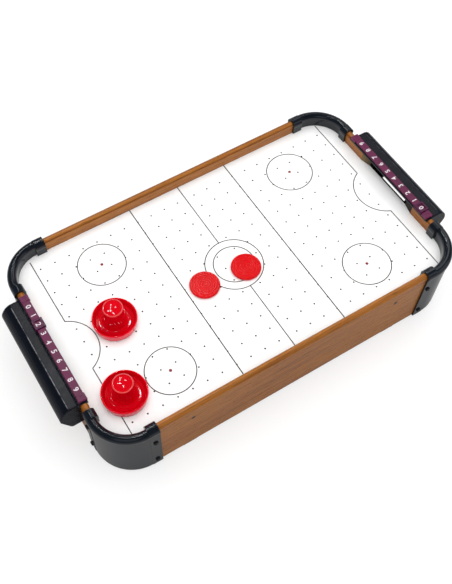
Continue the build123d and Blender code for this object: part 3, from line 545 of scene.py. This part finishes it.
# material: the CAD pieces that carry it
CARRIERS = {
    "board": "playfield_board",
    "wood_x": "side_rail_front side_rail_rear",
    "wood_y": "end_rail_left end_rail_right",
    "cap": "corner_cap_front_left corner_cap_front_right corner_cap_rear_left "
           "corner_cap_rear_right",
    "black_screw": "corner_screws rail_screws goal_box_screws",
    "batten_x": "batten_front batten_rear",
    "batten_y": "batten_left batten_right",
    "raw": "base_panel",
    "zinc": "base_panel_screws fan_screws fan_motor battery_box_screws",
    "matte": "fan_housing motor_bracket battery_box battery_lid switch_body",
    "nickel": "motor_shaft battery_contacts",
    "fan": "impeller",
    "cell": "battery_cells",
    "rocker": "switch_rocker",
    "wire_red": "lead_battery_switch lead_switch_motor",
    "wire_black": "lead_battery_motor",
    "goal": "goal_box_left goal_box_right",
    "purple": "score_strip_left score_strip_right",
    "marker": "score_marker_left score_marker_right",
    "red": "mallet_1_body mallet_2_body",
    "felt": "mallet_1_felt mallet_2_felt",
    "puck": "puck_1 puck_2",
    "rubber": "rubber_feet",
}
for key, names in CARRIERS.items():
    for name in names.split():
        carrier = NODES[name]
        if not carrier.material_slots:
            carrier.data.materials.append(MATERIALS[key])
        for material_slot in carrier.material_slots:
            material_slot.material = MATERIALS[key]


# ================================================================ mesh helpers
def new_piece(name, bm, material, smooth=None):
    """Object from a bmesh. smooth: the angle in degrees above which edges stay sharp."""
    mesh = bpy.data.meshes.new(name)
    bmesh.ops.recalc_face_normals(bm, faces=bm.faces)
    bm.to_mesh(mesh)
    bm.free()
    piece = bpy.data.objects.new(name, mesh)
    OBJECTS.link(piece)
    mesh.materials.append(material)
    if smooth is not None:
        for face in mesh.polygons:
            face.use_smooth = True
        mesh.set_sharp_from_angle(angle=math.radians(smooth))
    return piece


def register(piece, carrier, replaces=None):
    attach(piece, carrier)
    if replaces:
        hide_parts(replaces)


def rounded(points, steps):
    """Outline with each (x, y, radius) corner turned into an arc. The two ends stay."""
    outline = []
    for i, (x, y, radius) in enumerate(points):
        if radius <= 0 or i in (0, len(points) - 1):
            outline.append((x, y))
            continue
        corner = Vector((x, y))
        before, after = Vector(points[i - 1][:2]), Vector(points[i + 1][:2])
        back, ahead = (before - corner).normalized(), (after - corner).normalized()
        half = back.angle(ahead) / 2
        reach = min(radius / math.tan(half), (before - corner).length * 0.49,
                    (after - corner).length * 0.49)
        radius = reach * math.tan(half)
        start, end = corner + back * reach, corner + ahead * reach
        centre = corner + (back + ahead).normalized() * (radius / math.sin(half))
        angle = math.atan2(start.y - centre.y, start.x - centre.x)
        sweep = math.atan2(end.y - centre.y, end.x - centre.x) - angle
        sweep = (sweep + math.pi) % (2 * math.pi) - math.pi
        for k in range(steps + 1):
            t = angle + sweep * k / steps
            outline.append((centre.x + radius * math.cos(t), centre.y + radius * math.sin(t)))
    return outline


def lathe(name, outline, centre, material, steps, smooth):
    """Turned piece standing on the field, from (radius, height) points in mm.

    An outline that touches the axis is left open, any other is closed on itself.
    """
    x, y = (c * MM for c in centre)
    bm = bmesh.new()
    rings = []
    for radius, height in outline:
        z = FIELD + height * MM
        if radius < 1e-6:
            rings.append([bm.verts.new((x, y, z))])
            continue
        turns = [2 * math.pi * i / steps for i in range(steps)]
        rings.append([bm.verts.new((x + radius * MM * math.cos(t),
                                    y + radius * MM * math.sin(t), z)) for t in turns])
    pairs = list(zip(rings, rings[1:]))
    if len(rings[0]) > 1 and len(rings[-1]) > 1:
        pairs.append((rings[-1], rings[0]))
    for a, b in pairs:
        for i in range(steps):
            j = (i + 1) % steps
            if len(a) == 1:
                bm.faces.new((a[0], b[i], b[j]))
            elif len(b) == 1:
                bm.faces.new((a[i], a[j], b[0]))
            else:
                bm.faces.new((a[i], a[j], b[j], b[i]))
    return new_piece(name, bm, material, smooth)


# ================================================================ printed field (mm)
INK_BOTTOM, INK_TOP = FIELD - 0.00002, FIELD + 0.00003     # m
HOLE_RADIUS = 0.92
LINE = 1.25                     # line width
FIELD_HALF_Y = 140.7            # where the cross lines end
ZONE_X = 73.0                   # the two slightly wider cross lines
CENTRE_RINGS = (37.2, 26.6)
SPOT_X, SPOT_Y = 143.4, 86.4    # the four red dots and the rings round them
SPOT_RING, SPOT_DOT = 30.9, 2.0
GOAL_LINE_X, GOAL_LINE_END = 220.2, 134.5
GOAL_ARC_RADIUS, GOAL_ARC_HALF = 40.0, 36.6

MID_X, MID_Y = PRINT
HOLES = [(s * (HOLE_GAP / 2 + HOLE_PITCH * i) + MID_X, HOLE_PITCH * j + MID_Y)
         for s in (-1, 1) for i in range(11) for j in range(-6, 7)]


def around(centre, radius, angle):
    return centre[0] + radius * math.cos(angle), centre[1] + radius * math.sin(angle)


def ink_block(bm, corners):
    """Thin block of ink, open underneath."""
    low = [bm.verts.new((x * MM, y * MM, INK_BOTTOM)) for x, y in corners]
    high = [bm.verts.new((x * MM, y * MM, INK_TOP)) for x, y in corners]
    bm.faces.new(high)
    for i in range(len(corners)):
        j = (i + 1) % len(corners)
        bm.faces.new((low[i], low[j], high[j], high[i]))


def clear_of_holes(start, end):
    """The parts of a segment that miss every air hole."""
    start = Vector(start)
    along = Vector(end) - start
    length = along.length
    along.normalize()
    cuts = []
    for hole in HOLES:
        to_hole = Vector(hole) - start
        t = to_hole.dot(along)
        off = abs(to_hole.x * along.y - to_hole.y * along.x)
        if off < HOLE_RADIUS and -HOLE_RADIUS < t < length + HOLE_RADIUS:
            chord = math.sqrt(HOLE_RADIUS ** 2 - off ** 2)
            cuts.append((t - chord, t + chord))
    parts, reached = [], 0.0
    for a, b in sorted(cuts):
        if a > reached:
            parts.append((reached, a))
        reached = max(reached, b)
    if reached < length:
        parts.append((reached, length))
    return [(start + along * a, start + along * b) for a, b in parts if b - a > 0.02]


def ink_line(bm, start, end, width=LINE):
    for a, b in clear_of_holes(start, end):
        along = (b - a).normalized()
        side = Vector((-along.y, along.x)) * (width / 2)
        ink_block(bm, [a + side, a - side, b - side, b + side])


def ink_arc(bm, centre, radius, start=0.0, end=360.0):
    """Arc between two angles in degrees, without the pieces that would cover a hole."""
    steps = max(8, int(abs(end - start) / 1.5))
    inner, outer = radius - LINE / 2, radius + LINE / 2
    for i in range(steps):
        t0, t1 = (math.radians(start + (end - start) * k / steps) for k in (i, i + 1))
        x, y = around(centre, radius, (t0 + t1) / 2)
        clearance = HOLE_RADIUS + 0.25
        if any((x - hx) ** 2 + (y - hy) ** 2 < clearance ** 2 for hx, hy in HOLES):
            continue
        ink_block(bm, [around(centre, inner, t0), around(centre, outer, t0),
                       around(centre, outer, t1), around(centre, inner, t1)])


def print_black():
    bm = bmesh.new()
    for side in (-1, 1):
        x = MID_X + side * ZONE_X
        ink_line(bm, (x, -FIELD_HALF_Y), (x, FIELD_HALF_Y), LINE * 1.1)
    ink_line(bm, (MID_X, MID_Y + CENTRE_RINGS[0]), (MID_X, FIELD_HALF_Y))
    ink_line(bm, (MID_X, -FIELD_HALF_Y), (MID_X, MID_Y - CENTRE_RINGS[0]))
    for radius in CENTRE_RINGS:
        ink_arc(bm, PRINT, radius)
    arc_depth = math.sqrt(GOAL_ARC_RADIUS ** 2 - GOAL_ARC_HALF ** 2)
    half_angle = math.degrees(math.atan2(GOAL_ARC_HALF, arc_depth))
    for side in (-1, 1):
        for across in (-1, 1):
            ink_arc(bm, (MID_X + side * SPOT_X, MID_Y + across * SPOT_Y), SPOT_RING)
        x = MID_X + side * GOAL_LINE_X
        for across in (-1, 1):
            ink_line(bm, (x, MID_Y + across * GOAL_ARC_HALF), (x, across * GOAL_LINE_END))
        facing = 180.0 if side > 0 else 0.0
        ink_arc(bm, (x + side * arc_depth, MID_Y), GOAL_ARC_RADIUS,
                facing - half_angle, facing + half_angle)
    register(new_piece("field_print_black", bm, MATERIALS["ink"]), "table")


def print_red():
    bm = bmesh.new()
    for side in (-1, 1):
        for across in (-1, 1):
            centre = (MID_X + side * SPOT_X, MID_Y + across * SPOT_Y)
            ink_block(bm, [around(centre, SPOT_DOT, 2 * math.pi * i / 32) for i in range(32)])
    register(new_piece("field_print_red", bm, MATERIALS["ink_red"]), "table")


print_black()
print_red()


# ================================================================ score digits
DIGIT_X, DIGIT_Z = 0.2472, 0.0997           # m
DIGIT_TOP, DIGIT_BOTTOM = 0.00004, -0.00008     # faces above and below DIGIT_Z, m
DIGIT_HEIGHT = 6.6                          # mm
DIGIT_WIDEN = 1.02
DIGIT_PITCH = 14.0                          # mm
DIGIT_FIRST = 63.0                          # the 0, from the middle of the goal, mm
GOAL_OFFSET = 1.5                           # the goal's middle: +Y at the left, -Y at the right


def digit_mesh(char, centre, up, right):
    curve = bpy.data.curves.new("digit", "FONT")
    curve.body = char
    curve.size = 1.0
    curve.extrude = 0.02
    curve.offset = 0.018
    curve.resolution_u = 6
    text = bpy.data.objects.new("digit", curve)
    OBJECTS.link(text)
    bpy.context.view_layer.update()
    depsgraph = bpy.context.evaluated_depsgraph_get()
    mesh = bpy.data.meshes.new_from_object(text.evaluated_get(depsgraph))
    bpy.data.objects.remove(text)
    xs, ys = [v.co.x for v in mesh.vertices], [v.co.y for v in mesh.vertices]
    mid_x, mid_y = (min(xs) + max(xs)) / 2, (min(ys) + max(ys)) / 2
    scale = DIGIT_HEIGHT * MM / (max(ys) - min(ys))
    for v in mesh.vertices:
        lift = DIGIT_TOP if v.co.z > 0 else DIGIT_BOTTOM
        v.co = (Vector(centre) + Vector(right) * (v.co.x - mid_x) * scale * DIGIT_WIDEN
                + Vector(up) * (v.co.y - mid_y) * scale + Vector((0, 0, lift)))
    return mesh


for side_name, side in (("left", -1), ("right", 1)):
    bm = bmesh.new()
    for i in range(10):
        y = -side * (DIGIT_FIRST - DIGIT_PITCH * i + GOAL_OFFSET) * MM
        bm.from_mesh(digit_mesh(str(i), (side * DIGIT_X, y, DIGIT_Z),
                                up=(-side, 0, 0), right=(0, side, 0)))
    digits = new_piece("score_digits_" + side_name, bm, MATERIALS["digit"])
    register(digits, "table")


# ================================================================ mallets and pucks
# outlines are in mm: radius, height above the field, and where given the corner's rounding
HOLLOW = [(10.9, 1.0), (10.7, 32.4), (9.6, 33.6), (0.0, 33.8)]
FELT = [(11.5, 1.0), (11.5, 0.35), (11.75, 0.14), (12.2, 0.08), (18.5, 0.08), (25.1, 0.08),
        (25.55, 0.14), (25.8, 0.35), (25.8, 1.0)]


def mallet_outline():
    """From the foot over the rim and the dish to the middle of the knob's top."""
    radius, height, rim, crown = 27.8, 36.0, 13.2, 9.9
    points = [
        (10.9, 1.0, 0), (radius - 2.2, 1.0, 0.5), (radius - 1.1, 1.5, 0.8),
        (radius, rim - 1.6, 0.9), (radius - 0.6, rim, 0.9), (radius - 2.0, rim - 0.1, 0.8),
        (radius - 2.9, rim - 3.0, 2.0), (radius - 4.0, 5.2, 2.6), (radius - 8.5, 3.4, 3.0),
        (15.4, 3.15, 2.0), (13.1, 5.2, 2.2), (12.6, 20.0, 0.0), (12.25, height - 1.2, 0.8),
        (11.6, height - 0.25, 0.5), (10.9, height - 0.2, 0.3), (10.5, height - 1.0, 0.25),
    ]
    for r in (crown, 9.0, 8.0, 7.0, 6.0, 5.0, 4.0, 3.0, 2.0, 1.0, 0.0):
        points.append((r, height - 0.85 * (r / crown) ** 2, 0))
    return rounded(points, steps=6)


def puck_outline():
    """Disc with five raised rings and a raised border on top."""
    radius, height, bottom = 19.3, 4.6, 0.08
    sunk = height - 0.3
    points = [(0.0, sunk, 0)]
    for r in (3.0, 6.0, 9.0, 12.0, 15.0):
        points += [(r - 0.75, sunk, 0.2), (r - 0.35, height, 0.2),
                   (r + 0.35, height, 0.2), (r + 0.75, sunk, 0.2)]
    points += [(16.7, sunk, 0.2), (17.1, height, 0.3), (18.3, height, 0.8),
               (radius, height - 1.0, 0.7), (radius, 1.0, 0.7), (18.3, bottom, 0.7),
               (0.0, bottom, 0)]
    return rounded(points, steps=4)


def mallet(name, centre):
    """Outer skin and the hollow under the knob, joined at the foot, and a felt ring below."""
    shell = name + "_shell"
    parts = [lathe(part, outline, centre, MATERIALS["red"], steps=160, smooth=38)
             for part, outline in ((shell, mallet_outline()), (name + "_hollow", HOLLOW))]
    bm = bmesh.new()
    for part in parts:
        bm.from_mesh(part.data)
        bpy.data.objects.remove(part)
    bmesh.ops.remove_doubles(bm, verts=bm.verts, dist=1e-6)
    body = new_piece(shell, bm, MATERIALS[name], smooth=38)
    register(body, name, replaces=name + "_body")
    # the felt's rubbed lower edge stands just clear of the printed lines
    pad = lathe(name + "_felt_ring", FELT, centre, MATERIALS["felt"], steps=144, smooth=40)
    register(pad, name, replaces=name + "_felt")


for name, centre in MALLETS.items():
    mallet(name, centre)

for name, centre in PUCKS.items():
    disc = lathe(name + "_disc", puck_outline(), centre, MATERIALS["puck"], steps=144, smooth=30)
    register(disc, name, replaces=name)


# ================================================================ floor and world
SKY_SOFT = (0.51, 1.28)         # diffuse light at the horizon and overhead
SKY_MIRROR = (0.28, 0.06)       # what shiny faces mirror, near the horizon and overhead
SKY_SEEN = 1.05                 # what the camera sees


def make_floor():
    mesh = bpy.data.meshes.new("studio_floor")
    bm = bmesh.new()
    bmesh.ops.create_grid(bm, x_segments=2, y_segments=2, size=6.0)
    bm.to_mesh(mesh)
    bm.free()
    floor = bpy.data.objects.new("studio_floor", mesh)
    OBJECTS.link(floor)
    mesh.materials.append(floor_pale())


def make_world():
    world = bpy.data.worlds.new("studio")
    SCENE.world = world
    world.use_nodes = True
    sky = Shader(world.node_tree, "Generated")

    def background(colour, strength):
        return sky.node("Background", {0: colour, 1: strength}).outputs[0]

    def choose(ray, other, chosen):
        return sky.node("MixShader", {0: rays[ray], 1: other, 2: chosen}).outputs[0]

    rays = sky.node("LightPath").outputs
    up = sky.xyz()[2]
    soft = background(WHITE, sky.remap(up, to=SKY_SOFT, span=(0.0, 1.0)))
    mirror = background((0.86, 0.95, 1.1, 1), sky.remap(up, to=SKY_MIRROR, span=(-0.1, 0.9)))
    light = choose("Is Glossy Ray", soft, mirror)
    sky.node("OutputWorld", {0: choose("Is Camera Ray", light, background(WHITE, SKY_SEEN))})


make_floor()
make_world()


# ================================================================ lights
# name, location, target, size (m), power (W)
AREA_LIGHTS = [
    ("key", (1.50, 0.72, 1.75), (0, 0, 0.08), (1.0, 1.0), 5.5),
    ("top", (0.05, -0.15, 2.1), (0, 0, 0.08), (1.5, 1.5), 6.5),
    ("side", (-0.9, -1.1, 1.5), (0, 0, 0.05), (1.2, 1.2), 2.6),
    ("fill", (1.5, -1.2, 1.0), (0.1, 0, 0.05), (1.2, 1.2), 3.2),
    ("back", (0.9, 2.0, 1.15), (0.1, 0, 0.08), (1.7, 0.08), 3.0),
]
# small far ceiling lamps that twinkle in the mallets' knobs: places round their centre
LAMPS = [(0.08, 0.63), (-0.10, 0.33), (0.30, 0.11), (-0.40, 0.13), (-0.23, 0.0), (-0.15, -0.39)]
LAMP_CENTRE, LAMP_SPREAD, LAMP_HEIGHT = (0.3, 1.3), 1.5, 3.0


def area(name, location, target, size, power):
    data = bpy.data.lights.new(name, "AREA")
    data.shape = "RECTANGLE"
    data.size, data.size_y = size
    data.energy = power
    light = bpy.data.objects.new(name, data)
    OBJECTS.link(light)
    light.location = location
    light.rotation_mode = "QUATERNION"
    aim = Vector(target) - Vector(location)
    light.rotation_quaternion = aim.to_track_quat("-Z", "Y")
    return light


for row in AREA_LIGHTS:
    light = area(*row)
    light.visible_glossy = light.name != "top"
for i, (x, y) in enumerate(LAMPS):
    place = (LAMP_CENTRE[0] + LAMP_SPREAD * x, LAMP_CENTRE[1] + LAMP_SPREAD * y, LAMP_HEIGHT)
    lamp = area(f"lamp_{i}", place, target=(-0.18, -0.04, 0.11), size=(0.15, 0.15), power=3.4)
    lamp.visible_diffuse = False


# ================================================================ camera
CAMERA_PLACE = Vector((-0.32176153, -0.45937013, 0.94814253))
CAMERA_RIGHT = Vector((0.85644488, -0.51619999, -0.00630430))
CAMERA_DOWN = Vector((-0.44803607, -0.73717448, -0.50580379))
CAMERA_AHEAD = Vector((0.25644854, 0.43601762, -0.86262552))

camera_data = bpy.data.cameras.new("camera")
camera = bpy.data.objects.new("camera", camera_data)
OBJECTS.link(camera)
SCENE.camera = camera
camera_data.sensor_width = 36.0
camera_data.lens = 50.3919863
camera_data.shift_x = 0.050770548
camera_data.shift_y = 0.0114383562
camera_data.clip_start, camera_data.clip_end = 0.05, 50
turn = Matrix((CAMERA_RIGHT, -CAMERA_DOWN, -CAMERA_AHEAD)).transposed().to_4x4()
camera.matrix_world = Matrix.Translation(CAMERA_PLACE) @ turn

SCENE.view_settings.view_transform = "Standard"
SCENE.view_settings.look = "None"
SCENE.view_settings.exposure = 0.0
SCENE.view_settings.gamma = 1.0
